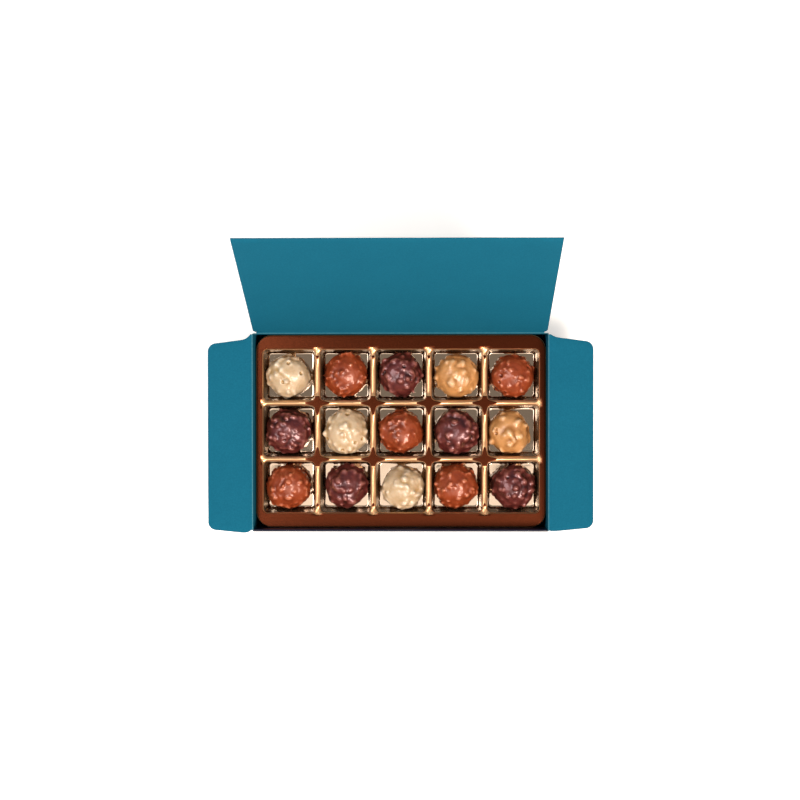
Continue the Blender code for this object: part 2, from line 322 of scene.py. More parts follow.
def make_flap(name, side):
    """One flap; side is -1 at the left and 1 at the right."""
    shift = side * FLAP_SHIFT

    def sides(distance):
        inset = corner_inset(FLAP_LENGTH - distance, FLAP_CORNER)
        low = flap_edge(distance, FLAP_FRONT, shift) + inset
        high = flap_edge(distance, FLAP_BACK, shift) - inset
        return (high, low) if side < 0 else (low, high)

    def place(distance, across):
        sag = FLAP_SAG * (distance / FLAP_LENGTH) ** 2 * (across / BODY_HIGH.y) ** 2
        return side * (FLAP_AXIS.x + distance), across, FLAP_AXIS.z - sag

    marks = stations(
        HINGE_MARGIN, FLAP_LENGTH, FLAP_CORNER, spacing=1.2 * MM, round_end=True
    )
    flap = panel("panel_" + name, marks, sides, place)
    if sum(face.normal.z for face in flap.data.polygons) < 0:
        flap.data.flip_normals()
    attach(flap, name)
    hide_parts(name)


make_flap("flap_left", -1)
make_flap("flap_right", 1)

# %% [markdown]
# The body of the carton is one folded surface: a flat bottom that turns up at four creases. A
# crease isn't a sharp line but a small round, here 0.8 mm. Rings of points climb from the middle
# of the bottom over that round and up the walls, and Solidify adds the board on the inside. The
# front wall is the exception: it is folded over double, so it gets a piece of its own.

# %% Carton body
CREASE_ROUND = 0.8 * MM
WALL_TOP = BODY_HIGH.z - 0.4 * MM
SHELL_CORNER_STEPS = 5
SHELL_SIDE_STEPS = 24
SHELL_SURFACES = [navy_board, teal_board, core_board]


def ring(low, high, radius, corner_steps, side_steps):
    """Points round a rectangle with rounded corners, anticlockwise from the right-hand side."""
    radius = max(radius, 0.01 * MM)
    centres = (
        (high[0] - radius, high[1] - radius),
        (low[0] + radius, high[1] - radius),
        (low[0] + radius, low[1] + radius),
        (high[0] - radius, low[1] + radius),
    )
    arcs = []
    for quarter, (x, y) in enumerate(centres):
        turns = [(quarter + i / corner_steps) * math.pi / 2 for i in range(corner_steps + 1)]
        arcs.append([(x + radius * math.cos(t), y + radius * math.sin(t)) for t in turns])
    points = []
    for quarter, arc in enumerate(arcs):
        points += arc
        start, end = Vector(arc[-1]), Vector(arcs[(quarter + 1) % 4][0])
        points += [tuple(start.lerp(end, i / side_steps)) for i in range(1, side_steps)]
    return points


def join_rings(bm, outer, inner):
    """Faces between two rings with the same number of points."""
    for i in range(len(outer)):
        j = (i + 1) % len(outer)
        bm.faces.new((outer[i], outer[j], inner[j], inner[i]))


def shell_levels():
    """Inset and height of each ring, from inside the bottom's edge up to the top of the walls."""
    levels = [(12 * MM, 0.0), (3 * MM, 0.0)]
    for step in range(6):
        turn = step / 5 * math.pi / 2
        levels.append((
            CREASE_ROUND * (1 - math.sin(turn)),
            CREASE_ROUND * (1 - math.cos(turn)),
        ))
    levels += [(0.0, CREASE_ROUND + (WALL_TOP - CREASE_ROUND) * i / 6) for i in range(1, 7)]
    return levels


bm = bmesh.new()
rings = []
for inset, z in shell_levels():
    points = ring(
        (BODY_LOW.x + inset, BODY_LOW.y + inset),
        (BODY_HIGH.x - inset, BODY_HIGH.y - inset),
        max(CREASE_ROUND - inset, 0.05 * MM),
        SHELL_CORNER_STEPS,
        SHELL_SIDE_STEPS,
    )
    rings.append([bm.verts.new((x, y, z)) for x, y in points])
for lower, upper in zip(rings, rings[1:]):
    join_rings(bm, lower, upper)
bm.faces.new(list(reversed(rings[0])))
bmesh.ops.recalc_face_normals(bm, faces=bm.faces)
shell = finish_piece(bm, "carton_shell", SHELL_SURFACES)
add_thickness(shell, BOARD, -1.0)
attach(shell, "carton")
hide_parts("carton_body")

# %% [markdown]
# The front wall's board goes up the outside, rolls over and comes down inside. Its printed
# outside is what shows on the roll, so seen from above it is the thin dark line along the front.

# %% Rolled front wall
FRONT_WALL = 1.4 * MM
ROLL_STEPS = 12
ROLL_COLUMNS = 40
ROLL_WAVE = 0.06 * MM


def roll_profile():
    """(y, z) points: up behind the outer layer, over the top and down the inner layer."""
    radius = FRONT_WALL / 2
    middle = BODY_LOW.y + radius
    top = BODY_HIGH.z - radius
    points = [(middle - radius, top - 1.2 * MM)]
    for step in range(ROLL_STEPS + 1):
        turn = math.pi - step / ROLL_STEPS * math.pi
        points.append((middle + radius * math.cos(turn), top + radius * math.sin(turn)))
    points.append((middle + radius, BODY_LOW.z + 6 * MM))
    return points


bm = bmesh.new()
columns = []
roll_half = BODY_HIGH.x - BOARD
for i in range(ROLL_COLUMNS + 1):
    x = roll_half * (2 * i / ROLL_COLUMNS - 1)
    wave = ROLL_WAVE * math.sin(i * 1.7) * math.sin(i * 0.45)
    columns.append([bm.verts.new((x, y, z + wave)) for y, z in roll_profile()])
for left, right in zip(columns, columns[1:]):
    for i in range(len(left) - 1):
        bm.faces.new((left[i], right[i], right[i + 1], left[i + 1]))
bmesh.ops.recalc_face_normals(bm, faces=bm.faces)
roll = finish_piece(bm, "front_roll", SHELL_SURFACES)
if sum(face.normal.z for face in roll.data.polygons) < 0:
    roll.data.flip_normals()
add_thickness(roll, BOARD * 0.9, -1.0)
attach(roll, "carton")

# %% [markdown]
# At each hinge the board is creased, and a paler line is painted on the bend: partly the varnish
# cracking, partly a painted highlight along the crease's round. The crease is the one part of the
# carton that bends, so it is a strip of its own between the wall and the panel.

# %% Creases
def baked(obj):
    """The same piece with its modifiers worked into a plain mesh."""
    shape = obj.evaluated_get(bpy.context.evaluated_depsgraph_get())
    mesh = bpy.data.meshes.new_from_object(shape)
    obj.modifiers.clear()
    obj.data = mesh
    return obj


def crease_strip(name, path, along, place, pale_segments):
    """A strip of board: path is its cross-section, and the last argument lists the segments painted
    pale, partly for cracking varnish and partly as a painted highlight.
    """
    bm = bmesh.new()
    rows = [[bm.verts.new(place(out, up, at)) for out, up in path] for at in along]
    for near, far in zip(rows, rows[1:]):
        for i in range(len(path) - 1):
            face = bm.faces.new((near[i], near[i + 1], far[i + 1], far[i]))
            face.material_index = 3 if i in pale_segments else 0
    strip = finish_piece(bm, name, [teal_board, navy_board, core_board, crease_crack_and_highlight_board])
    add_thickness(strip, BOARD, 0.0)
    return baked(strip)


def bezier(points, steps):
    """Points along one cubic curve in the plane of a cross-section."""
    made = []
    for step in range(steps + 1):
        t = step / steps
        weights = ((1 - t) ** 3, 3 * t * (1 - t) ** 2, 3 * t * t * (1 - t), t ** 3)
        made.append(tuple(sum(w * p[i] for w, p in zip(weights, points)) for i in (0, 1)))
    return made


def evenly(low, high, count):
    return [low + (high - low) * i / count for i in range(count + 1)]


wall_in = FLAP_AXIS.x - (BODY_HIGH.x - BOARD / 2)
wall_drop = FLAP_AXIS.z - WALL_TOP + 0.3 * MM
flap_path = [(-wall_in, -wall_drop)] + bezier(
    ((-wall_in, -0.8 * MM), (-wall_in, -0.1 * MM), (-0.5 * MM, 0.0), (HINGE_MARGIN, 0.0)), 8
) + [(HINGE_MARGIN + 0.2 * MM, 0.0)]
for name, side in (("flap_left", -1), ("flap_right", 1)):
    strip = crease_strip(
        "crease_" + name,
        flap_path,
        evenly(-side * 61.0 * MM, side * 60.7 * MM, 40),
        lambda out, up, at, side=side: (side * (FLAP_AXIS.x + out), at, FLAP_AXIS.z + up),
        pale_segments=(4, 5),
    )
    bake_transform(strip)

back_in = LID_AXIS.y - (BODY_HIGH.y - BOARD / 2)
back_drop = LID_AXIS.z - WALL_TOP + 0.3 * MM
lid_way = (math.cos(LID_RISE), math.sin(LID_RISE))
lid_end = tuple((HINGE_MARGIN + 0.2 * MM) * v for v in lid_way)
lid_path = [(-back_in, -back_drop)] + bezier(
    (
        (-back_in, -1.6 * MM),
        (-back_in, -0.7 * MM),
        tuple(-0.6 * MM * v for v in lid_way),
        lid_end,
    ),
    10,
)
strip = crease_strip(
    "crease_lid",
    lid_path,
    evenly(LID_WIDTH / 2 - LID_CORNER * 0.6, -LID_WIDTH / 2 + LID_CORNER * 0.6, 60),
    lambda out, up, at: (at, LID_AXIS.y + out, LID_AXIS.z + up),
    pale_segments=(5, 6),
)
print("crease of the lid, mm:", [[round(v / MM, 2) for v in at] for at in lid_path])
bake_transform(strip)

# %% [markdown]
# ## Tray
# The tray is thermoformed: a metallised plastic film is heated and drawn down over a mould with
# fifteen cells. Its colour is painted by height: brown where the sheet stays at its top level, gold
# on the walls and floors below, and this split stands partly for the film's highlights and
# reflections. The tops of the dividing walls sag into gold saddles between their crossings, where
# the flat brown level survives as a star with four points.

# %% Tray measurements
COLUMNS = 5
ROWS = 3
PITCH = Vector((35.0, 35.3)) * MM
DIVIDER = Vector((3.4, 3.2)) * MM
OUTER_EXTRA = 0.9 * MM
TRAY_CENTRE = ((TRAY_LOW + TRAY_HIGH) / 2).to_2d()
RIM_Z = TRAY_HIGH.z
FLOOR_Z = TRAY_LOW.z + 0.45 * MM
CELL_DEPTH = RIM_Z - FLOOR_Z
DRAFT = 1.5 * MM
CELL_CORNER = 2.6 * MM
FLOOR_CORNER = 2.0 * MM
CORNER_STEPS = 7
SIDE_STEPS = 18


def cell_opening(row, column):
    """Low and high corner of a cell's opening. Row 0 is beside the lid's hinge."""
    middle = TRAY_CENTRE + Vector(((column - 2) * PITCH.x, (1 - row) * PITCH.y))
    half = (PITCH - DIVIDER) / 2
    low, high = middle - half, middle + half
    if column == 0:
        low.x -= OUTER_EXTRA
    if column == COLUMNS - 1:
        high.x += OUTER_EXTRA
    return low, high


# %% [markdown]
# A cell is a stack of closed loops with the same number of points, from the middle line of the
# walls round it, over the lip, down the wall, round the foot and across the floor. Neighbouring
# cells share the points of the middle line. The cross-section of a wall changes along it: at a
# crossing the top is flat with a tight lip; away from it the flat narrows to a point, the lip
# grows into a round ridge, and the ridge sags.

# %% Cross-section of a wall
TOP_FLAT = 4
TOP_ROUND = 7
LIP = (0.50 * MM, 1.25 * MM)  # height of the rounding at a crossing and along a saddle
POINT_REACH = (4.3 * MM, 10.8 * MM)  # from a crossing, where the flat narrows and where it ends
SAG_REACH = (6.5 * MM, 13.0 * MM)
SAG = 1.0 * MM
LEAST_FLAT = 0.07  # share of a wall's flat top that is left along a saddle
RIM_SAG = 0.6  # share of the sag that is reached beside the outer rim
RIM_REACH = (4.3 * MM, 9.0 * MM)


def smooth_step(value, low, high):
    share = min(max((value - low) / (high - low), 0.0), 1.0)
    return share * share * (3 - 2 * share)


def top_profile(narrowing, sag, width):
    """(distance out from the opening, drop) for each loop over the top of a wall."""
    flat = (width - LIP[0]) * max(LEAST_FLAT, (1 - narrowing) ** 2)
    height = LIP[0] + (LIP[1] - LIP[0]) * narrowing
    places = [(width - flat * i / TOP_FLAT, 0.0) for i in range(TOP_FLAT)]
    for step in range(TOP_ROUND + 1):
        out = math.cos(step / TOP_ROUND * math.pi / 2)
        fall = 0.5 * (1 - out) ** 1.5 + 0.5 * (1 - math.sqrt(1 - (1 - out) ** 2))
        places.append(((width - flat) * out, height * fall))
    return [places[0]] + [(out, drop + sag) for out, drop in places[1:]]


def from_end(reach, crossing):
    """Narrowing and sag at a distance from one end of a wall: a crossing, or the outer rim."""
    if crossing:
        start, end = POINT_REACH
        narrowing = min(max((reach - start) / (end - start), 0.0), 1.0)
        return narrowing, SAG * smooth_step(reach, *SAG_REACH)
    return 1.0, SAG * (RIM_SAG + (1 - RIM_SAG) * smooth_step(reach, *RIM_REACH))


def along_wall(index, point, low, high, shared):
    """How narrow the flat and how deep the sag is at one point of a cell's loop."""
    side, step = divmod(index, CORNER_STEPS + SIDE_STEPS)
    before, after = shared[side - 1], shared[(side + 1) % 4]
    if step <= CORNER_STEPS:
        if before == shared[side]:
            return 0.0, 0.0
        share = step / CORNER_STEPS
        share = share if shared[side] else 1 - share
        share = max(0.0, share * CORNER_STEPS - 1) / (CORNER_STEPS - 1)
        return share, SAG * RIM_SAG * share
    if not shared[side]:
        return 0.0, 0.0
    axis = 0 if side in (0, 2) else 1
    ends = [point[axis] - low[axis], high[axis] - point[axis]]
    if side in (0, 3):
        ends.reverse()
    first = from_end(ends[0] + DIVIDER[axis] / 2, before)
    last = from_end(ends[1] + DIVIDER[axis] / 2, after)
    return min(first[0], last[0]), min(first[1], last[1])


# %% [markdown]
# Every point of the opening's loop looks outwards for the middle of the wall beside it; at a
# corner that is the middle of the crossing. The points between the two follow the cross-section.

# %% Loops over a wall
NEAR_SIDE = 0.6 * CELL_CORNER  # a point this close to a side of the opening belongs to its wall


def lip_loops(low, high, shared):
    """Loops of a cell from the middle lines of its walls in to the edge of its opening."""
    edges = (low - DIVIDER / 2, high + DIVIDER / 2)
    columns = []
    for index, point in enumerate(ring(low, high, CELL_CORNER, CORNER_STEPS, SIDE_STEPS)):
        spot = list(point)
        walls = []
        for axis in (0, 1):
            if point[axis] - low[axis] < NEAR_SIDE:
                spot[axis] = edges[0][axis]
                walls.append(shared[(1, 2)[axis]])
            elif high[axis] - point[axis] < NEAR_SIDE:
                spot[axis] = edges[1][axis]
                walls.append(shared[(3, 0)[axis]])
        way = Vector(spot) - Vector(point)
        narrowing, sag = along_wall(index, point, low, high, shared)
        section = []
        for out, drop in top_profile(narrowing, sag, way.length):
            place = Vector(point) + way.normalized() * out
            section.append((place.x, place.y, RIM_Z - drop))
        if walls == [True]:
            section[0] = (spot[0], spot[1], RIM_Z - sag)
        columns.append(section)
    return [list(loop) for loop in zip(*columns)]


# %% [markdown]
# The floors of a drawn film are never optically flat: they ripple by a few hundredths of a
# millimetre, which is what breaks up their reflections. A sum of slow sine waves does that here.
# The walls lean in by the draft that lets the tray leave its mould.

# %% Loops of walls and floor
FOOT = 0.9 * MM
LEAN = DRAFT * (1 - FOOT / CELL_DEPTH)


def ripple(x, y):
    """Height of the film's ripples, in metres."""
    u, v = x / MM, y / MM
    slow = math.sin(0.31 * u + 0.17 * v) + math.sin(0.13 * u - 0.37 * v + 1.3)
    fine = math.sin(0.75 * u + 0.7 * math.sin(0.41 * v)) * math.sin(0.63 * v + 0.4)
    return 0.008 * MM * slow + 0.004 * MM * fine


def wall_loops(low, high, tops):
    """Loops down the walls, below the heights of the opening's edge."""
    loops = []
    for share in (0.1, 0.25, 0.45, 0.65, 0.82, 0.93):
        inset = LEAN * share
        corner = Vector((inset, inset))
        radius = CELL_CORNER + (FLOOR_CORNER - CELL_CORNER) * share
        wall = ring(low + corner, high - corner, radius, CORNER_STEPS, SIDE_STEPS)
        bottom = FLOOR_Z + FOOT
        loops.append([(x, y, z + (bottom - z) * share) for (x, y), z in zip(wall, tops)])
    return loops


def floor_loops(low, high):
    """Loops round the foot of the walls and in over the floor."""
    levels = []
    for step in range(6):
        turn = step / 5 * math.pi / 2
        levels.append((LEAN + FOOT * (1 - math.cos(turn)), FOOT * (1 - math.sin(turn))))
    levels += [(LEAN + FOOT + d * MM, 0.0) for d in (0.8, 2.0, 3.6, 5.6, 8.0, 10.5)]
    loops = []
    for inset, rise in levels:
        corner = Vector((inset, inset))
        radius = max(0.5 * MM, FLOOR_CORNER - 0.25 * (inset - LEAN))
        floor = ring(low + corner, high - corner, radius, CORNER_STEPS, SIDE_STEPS)
        loops.append([(x, y, FLOOR_Z + rise + ripple(x, y)) for x, y in floor])
    return loops


def add_cell(bm, row, column):
    """One cell as a skin over its loops."""
    low, high = cell_opening(row, column)
    shared = (row > 0, column > 0, row < ROWS - 1, column < COLUMNS - 1)
    loops = lip_loops(low, high, shared)
    tops = [z for _, _, z in loops[-1]]
    loops += wall_loops(low, high, tops) + floor_loops(low, high)
    rows = [[bm.verts.new(place) for place in loop] for loop in loops]
    for outer, inner in zip(rows, rows[1:]):
        join_rings(bm, outer, inner)
    bm.faces.new(rows[-1])


# %% [markdown]
# Round the cells runs the flange, which is flat, then rolls over its edge into a short skirt. A
# narrow level border comes first, so that the smooth shading of the lips doesn't spread over the
# large faces of the flange.

# %% Tray mesh
EDGE_ROLL = 0.6 * MM
SKIRT = 4.0 * MM
TRAY_CORNER = 10.0 * MM
BORDER = 0.4 * MM
TOUCH = 0.01 * MM
MERGE = 0.004 * MM

bm = bmesh.new()
for row in range(ROWS):
    for column in range(COLUMNS):
        add_cell(bm, row, column)
bmesh.ops.remove_doubles(bm, verts=bm.verts, dist=MERGE)
boundary = [edge for edge in bm.edges if edge.is_boundary]
grown = bmesh.ops.extrude_edge_only(bm, edges=boundary)["geom"]
block_low = cell_opening(ROWS - 1, 0)[0] - DIVIDER / 2
block_high = cell_opening(0, COLUMNS - 1)[1] + DIVIDER / 2
for vertex in [part for part in grown if isinstance(part, bmesh.types.BMVert)]:
    for axis in (0, 1):
        if abs(vertex.co[axis] - block_low[axis]) < TOUCH:
            vertex.co[axis] -= BORDER
        if abs(vertex.co[axis] - block_high[axis]) < TOUCH:
            vertex.co[axis] += BORDER
boundary = [part for part in grown if isinstance(part, bmesh.types.BMEdge)]
rings = []
levels = [(EDGE_ROLL * 1.6, 0.0)]
for step in range(7):
    turn = step / 6 * math.pi / 2
    levels.append((EDGE_ROLL * (1 - math.sin(turn)), EDGE_ROLL * (1 - math.cos(turn))))
levels += [(0.0, EDGE_ROLL + (SKIRT - EDGE_ROLL) * i / 3) for i in (1, 2, 3)]
for inset, drop in levels:
    corner = Vector((inset, inset))
    points = ring(
        TRAY_LOW.to_2d() + corner, TRAY_HIGH.to_2d() - corner, TRAY_CORNER - inset, 14, 60
    )
    rings.append([bm.verts.new((x, y, RIM_Z - drop)) for x, y in points])
for upper, lower in zip(rings, rings[1:]):
    join_rings(bm, lower, upper)
top_edges = [bm.edges.get((rings[0][i - 1], rings[0][i])) for i in range(len(rings[0]))]
bmesh.ops.triangle_fill(bm, use_beauty=True, edges=boundary + top_edges)
bmesh.ops.recalc_face_normals(bm, faces=bm.faces)
if sum(face.normal.z * face.calc_area() for face in bm.faces) < 0:
    bmesh.ops.reverse_faces(bm, faces=bm.faces)

# %% [markdown]
# The film's surface is metal under a clear skin: almost a mirror on the floors, and satin on the
# ridges, where stretching has crazed it. The colour is painted by height alone: above the saddles
# it is brown, below it is gold, a split that stands partly for the film's highlights and
# reflections. The edge of that mask wanders by a few hundredths of a millimetre, by noise. Orange
# peel, 3 mm across, keeps the flat rim's reflections soft.

# %% Tray surface
film, tree, shader = new_surface("tray_film_brown_and_gold_by_height")
place = node(tree, "ShaderNodeTexCoord").outputs["Object"]
height = node(tree, "ShaderNodeSeparateXYZ", None, {0: place}).outputs["Z"]
mask_wobble = node(tree, "ShaderNodeTexNoise", None, {"Vector": place, "Scale": 1 / (1.2 * MM)})
wobbled_height = node(tree, "ShaderNodeMath", {"operation": "MULTIPLY_ADD"},
            {0: mask_wobble.outputs["Fac"], 1: 0.06 * MM, 2: height})
# Brown is painted where the surface is highest, partly standing for the film's highlights and
# reflections.
brown_level_mask = node(tree, "ShaderNodeMapRange", {"interpolation_type": "SMOOTHSTEP"},
               {0: wobbled_height.outputs[0], 1: RIM_Z - 0.14 * MM, 2: RIM_Z - 0.01 * MM, 3: 0.0, 4: 1.0})
wall = node(tree, "ShaderNodeMapRange", None,
            {0: height, 1: FLOOR_Z + 0.6 * MM, 2: FLOOR_Z + 2.5 * MM, 3: 0.0, 4: 1.0}).outputs[0]
ridge = node(tree, "ShaderNodeMapRange", None,
             {0: height, 1: RIM_Z - 3.2 * MM, 2: RIM_Z - 1.8 * MM, 3: 0.0, 4: 1.0}).outputs[0]
brown = brown_level_mask.outputs[0]


def by_level(data_type, sockets, values):
    """Mixes four values: floor, wall, ridge and the brown painted on the top level."""
    mixed = values[0]
    for share, value in zip((wall, ridge, brown), values[1:]):
        mix = node(tree, "ShaderNodeMix", {"data_type": data_type},
                   {0: share, sockets[0]: mixed, sockets[1]: value})
        mixed = mix.outputs[sockets[2]]
    return mixed


# Floor, wall and ridge gold, then the painted brown of the top level.
colour = by_level("RGBA", (6, 7, 2), [
    linear("#ead2ba"), linear("#947a5c"), linear("#d8a678"), linear("#54230d"),
])
satin = by_level("FLOAT", (2, 3, 0), [0.05, 0.24, 0.31, 0.24])
metal = by_level("FLOAT", (2, 3, 0), [1.0, 0.75, 0.75, 0.90])
peel = node(tree, "ShaderNodeTexNoise", None, {"Vector": place, "Scale": 1 / (3.0 * MM)})
peel_depth = node(tree, "ShaderNodeMath", {"operation": "MULTIPLY"},
                  {0: wall, 1: 0.25})
bump = node(tree, "ShaderNodeBump", None, {
    "Height": peel.outputs["Fac"], "Strength": peel_depth.outputs[0], "Distance": 0.10 * MM,
})
tree.links.new(colour, shader.inputs["Base Color"])
tree.links.new(satin, shader.inputs["Roughness"])
tree.links.new(metal, shader.inputs["Metallic"])
tree.links.new(bump.outputs[0], shader.inputs["Normal"])

tray = finish_piece(bm, "formed_tray", [film])
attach(tray, "carton")
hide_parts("tray")

# %% [markdown]
# ## Pralines
# Each praline is a round centre rolled in chopped nuts and then dipped, so the nuts show as lumps
# that the chocolate has flowed over. Geometry Nodes follows the same steps: points are scattered
# just under the skin of a ball, each gets a small angular chunk, everything is melted together by
# way of a volume, and smoothing plays the part of the flowing chocolate. The tree works in
# millimetres and scales down at its end, because volumes have a least voxel size.

# %% Praline tree
def praline_tree():
    """Geometry Nodes for one praline, with named inputs."""
    tree = bpy.data.node_groups.new("nut_praline", "GeometryNodeTree")
    sockets = (
        ("Size", "NodeSocketVector"),
        ("Nut Density", "NodeSocketFloat"),
        ("Nut Size", "NodeSocketFloat"),
        ("Nut Height", "NodeSocketFloat"),
        ("Flow", "NodeSocketInt"),
        ("Pit Density", "NodeSocketFloat"),
        ("Unevenness", "NodeSocketFloat"),
        ("Seed", "NodeSocketInt"),
        ("Chocolate", "NodeSocketMaterial"),
    )
    for name, kind in sockets:
        tree.interface.new_socket(name, in_out="INPUT", socket_type=kind)
    tree.interface.new_socket("Geometry", in_out="OUTPUT", socket_type="NodeSocketGeometry")
    return tree


PRALINE_TREE = praline_tree()
print("inputs of a praline:", [item.name for item in PRALINE_TREE.interface.items_tree])

# %% [markdown]
# The ball first. A slow noise pushes it out of round, the way soft centres slump, and it is made
# smaller by the height of the nuts, so that the finished praline has its full size.

# %% Centre
NUMBERS = "ShaderNodeMath"
VECTORS = "ShaderNodeVectorMath"
SUNK = 0.6  # of a nut's size

tree = PRALINE_TREE
given = node(tree, "NodeGroupInput").outputs
half = node(tree, VECTORS, {"operation": "SCALE"}, {0: given["Size"], "Scale": 0.5})
nut_room = node(tree, "ShaderNodeCombineXYZ", None,
                {0: given["Nut Height"], 1: given["Nut Height"], 2: given["Nut Height"]})
core_size = node(tree, VECTORS, {"operation": "SUBTRACT"}, {0: half, 1: nut_room})
ball = node(tree, "GeometryNodeMeshIcoSphere", None, {"Radius": 1.0, "Subdivisions": 5})
spot = node(tree, "GeometryNodeInputPosition")
normal = node(tree, "GeometryNodeInputNormal")
seed = node(tree, NUMBERS, {"operation": "MULTIPLY"}, {0: given["Seed"], 1: 7.31})
slump = node(tree, "ShaderNodeTexNoise", {"noise_dimensions": "4D"},
             {"Vector": spot, "W": seed, "Scale": 1.1, "Detail": 1.0})
slump = node(tree, NUMBERS, {"operation": "SUBTRACT"}, {0: slump.outputs["Fac"], 1: 0.5})
slump = node(tree, NUMBERS, {"operation": "MULTIPLY"}, {0: slump, 1: given["Unevenness"]})
slump = node(tree, NUMBERS, {"operation": "ADD"}, {0: slump, 1: 1.0})
grown = node(tree, VECTORS, {"operation": "SCALE"}, {0: spot, "Scale": slump})
grown = node(tree, VECTORS, {"operation": "MULTIPLY"}, {0: grown, 1: core_size})
core = node(tree, "GeometryNodeSetPosition", None, {"Geometry": ball, "Position": grown})
below = node(tree, NUMBERS, {"operation": "MULTIPLY"}, {0: given["Nut Size"], 1: -SUNK})
inwards = node(tree, VECTORS, {"operation": "SCALE"}, {0: normal, "Scale": below})
sunk = node(tree, "GeometryNodeSetPosition", None, {"Geometry": core, "Offset": inwards})

# %% [markdown]
# A chopped nut is an angular crumb, longer than it is wide. A small ball with cell noise on it is
# rough enough, since chocolate covers it; each copy is turned and stretched at random.

# %% Chunks of nut
points = node(tree, "GeometryNodeDistributePointsOnFaces", {"distribute_method": "RANDOM"}, {
    "Mesh": sunk.outputs[0], "Density": given["Nut Density"], "Seed": given["Seed"],
})
chunk = node(tree, "GeometryNodeMeshIcoSphere", None, {"Radius": 1.0, "Subdivisions": 2})
facet = node(tree, "ShaderNodeTexVoronoi", None, {"Vector": spot, "Scale": 0.9})
rough = node(tree, NUMBERS, {"operation": "MULTIPLY_ADD"},
             {0: facet.outputs["Distance"], 1: -0.5, 2: 0.5})
rough = node(tree, NUMBERS, {"operation": "ADD"}, {0: rough, 1: 1.2})
rough = node(tree, VECTORS, {"operation": "SCALE"}, {0: spot, "Scale": rough})
chunk = node(tree, "GeometryNodeSetPosition", None, {"Geometry": chunk, "Position": rough})
turn = node(tree, "FunctionNodeRandomValue", {"data_type": "FLOAT_VECTOR"},
            {0: (0.0, 0.0, 0.0), 1: (6.283, 6.283, 6.283), "Seed": given["Seed"]})
stretch = node(tree, "FunctionNodeRandomValue", {"data_type": "FLOAT_VECTOR"},
               {0: (0.45, 0.45, 0.40), 1: (1.35, 1.1, 0.9), "Seed": given["Seed"]})
stretch = node(tree, VECTORS, {"operation": "SCALE"}, {0: stretch, "Scale": given["Nut Size"]})
nuts = node(tree, "GeometryNodeInstanceOnPoints", None,
            {"Points": points, "Instance": chunk, "Rotation": turn, "Scale": stretch})
nuts = node(tree, "GeometryNodeRealizeInstances", None, {0: nuts})

# %% [markdown]
# The union of centre and chunks becomes a volume and then one skin with no seams. Blurring the
# positions of its points rounds everything over. Here and there a bubble has burst in the
# chocolate and left a pit.

# %% Coating
VOXEL = 0.42  # mm

joined = node(tree, "GeometryNodeJoinGeometry")
tree.links.new(core.outputs[0], joined.inputs[0])
tree.links.new(nuts.outputs[0], joined.inputs[0])
volume = node(tree, "GeometryNodeMeshToVolume", {"resolution_mode": "VOXEL_SIZE"}, {
    "Mesh": joined.outputs[0], "Voxel Size": VOXEL, "Interior Band Width": 2 * VOXEL,
})
skin = node(tree, "GeometryNodeVolumeToMesh", {"resolution_mode": "VOXEL_SIZE"}, {
    "Volume": volume.outputs[0], "Voxel Size": VOXEL, "Threshold": 0.1, "Adaptivity": 0.0,
})
flowed = node(tree, "GeometryNodeBlurAttribute", {"data_type": "FLOAT_VECTOR"},
              {"Value": spot, "Iterations": given["Flow"]})
coat = node(tree, "GeometryNodeSetPosition", None, {"Geometry": skin, "Position": flowed})
bubbles = node(tree, "GeometryNodeDistributePointsOnFaces", None, {
    "Mesh": core.outputs[0], "Density": given["Pit Density"], "Seed": given["Seed"],
})
away = node(tree, "GeometryNodeProximity", {"target_element": "POINTS"},
            {0: bubbles.outputs["Points"]})
dent = node(tree, "ShaderNodeMapRange", {"interpolation_type": "SMOOTHSTEP"},
            {0: away.outputs["Distance"], 1: 0.6, 2: 1.7, 3: -1.1, 4: 0.0})
pushed = node(tree, VECTORS, {"operation": "SCALE"}, {0: normal, "Scale": dent})
coat = node(tree, "GeometryNodeSetPosition", None, {"Geometry": coat, "Offset": pushed})

# %% [markdown]
# How far each point stands out of its surroundings is kept for the colour. Then the surface gets
# the fine unevenness of set chocolate, and a flat foot from the belt of the dipping line.

# %% Relief, grain and foot
AROUND = 60  # smoothing passes for the surroundings

reach = node(tree, VECTORS, {"operation": "DIVIDE"}, {0: spot, 1: half})
reach = node(tree, VECTORS, {"operation": "LENGTH"}, {0: reach}).outputs["Value"]
around = node(tree, "GeometryNodeBlurAttribute", {"data_type": "FLOAT"},
              {"Value": reach, "Iterations": AROUND})
proud = node(tree, NUMBERS, {"operation": "SUBTRACT"}, {0: reach, 1: around})
stored = node(tree, "GeometryNodeStoreNamedAttribute",
              {"data_type": "FLOAT", "domain": "POINT"},
              {"Geometry": coat, "Name": "proud", "Value": proud})
grain = node(tree, "ShaderNodeTexNoise", {"noise_dimensions": "4D"},
             {"Vector": spot, "W": seed, "Scale": 0.55, "Detail": 3.0})
grain = node(tree, NUMBERS, {"operation": "SUBTRACT"}, {0: grain.outputs["Fac"], 1: 0.5})
grain = node(tree, NUMBERS, {"operation": "MULTIPLY"}, {0: grain, 1: 0.35})
grain = node(tree, VECTORS, {"operation": "SCALE"}, {0: normal, "Scale": grain})
lumpy = node(tree, "GeometryNodeSetPosition", None, {"Geometry": stored, "Offset": grain})
parts = node(tree, "ShaderNodeSeparateXYZ", None, {0: spot}).outputs
depth = node(tree, "ShaderNodeSeparateXYZ", None, {0: half}).outputs["Z"]
foot = node(tree, NUMBERS, {"operation": "MULTIPLY"}, {0: depth, 1: -0.80})
foot = node(tree, NUMBERS, {"operation": "MAXIMUM"}, {0: parts["Z"], 1: foot})
stood = node(tree, "ShaderNodeCombineXYZ", None, {0: parts["X"], 1: parts["Y"], 2: foot})
